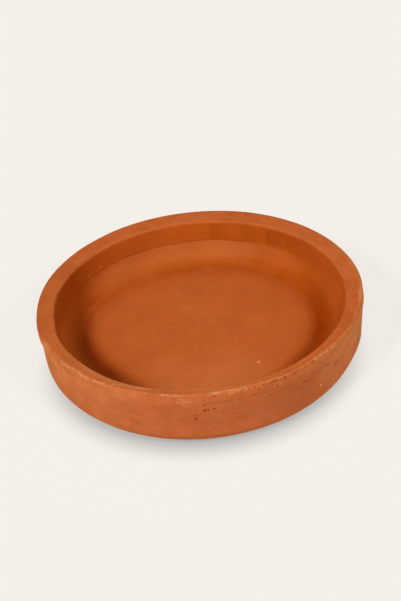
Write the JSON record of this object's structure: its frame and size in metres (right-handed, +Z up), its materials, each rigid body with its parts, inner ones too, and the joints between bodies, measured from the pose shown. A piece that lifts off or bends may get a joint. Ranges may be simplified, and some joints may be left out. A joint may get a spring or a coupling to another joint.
{
  "type": "clay cooking pan",
  "caption": "Shallow round pan of unglazed red clay: thick near-upright wall, broad flat rim, coved corner inside and a flat base.",
  "frame": {"origin": "on the table, under the centre of the rim's outside, which is the centre of the bounding box's underside", "axes": "+Z up out of the mouth; -Y towards the side whose rim is worn round, the front of the picture; +X to the right there"},
  "size_m": [0.219, 0.219, 0.04],
  "materials": {
    "fired_clay": "matte"
  },
  "bodies": {
    "root": {"base_slab": "fired_clay", "corner_coil": "fired_clay", "wall_coil": "fired_clay", "rim_coil": "fired_clay"}
  },
  "joints": []
}
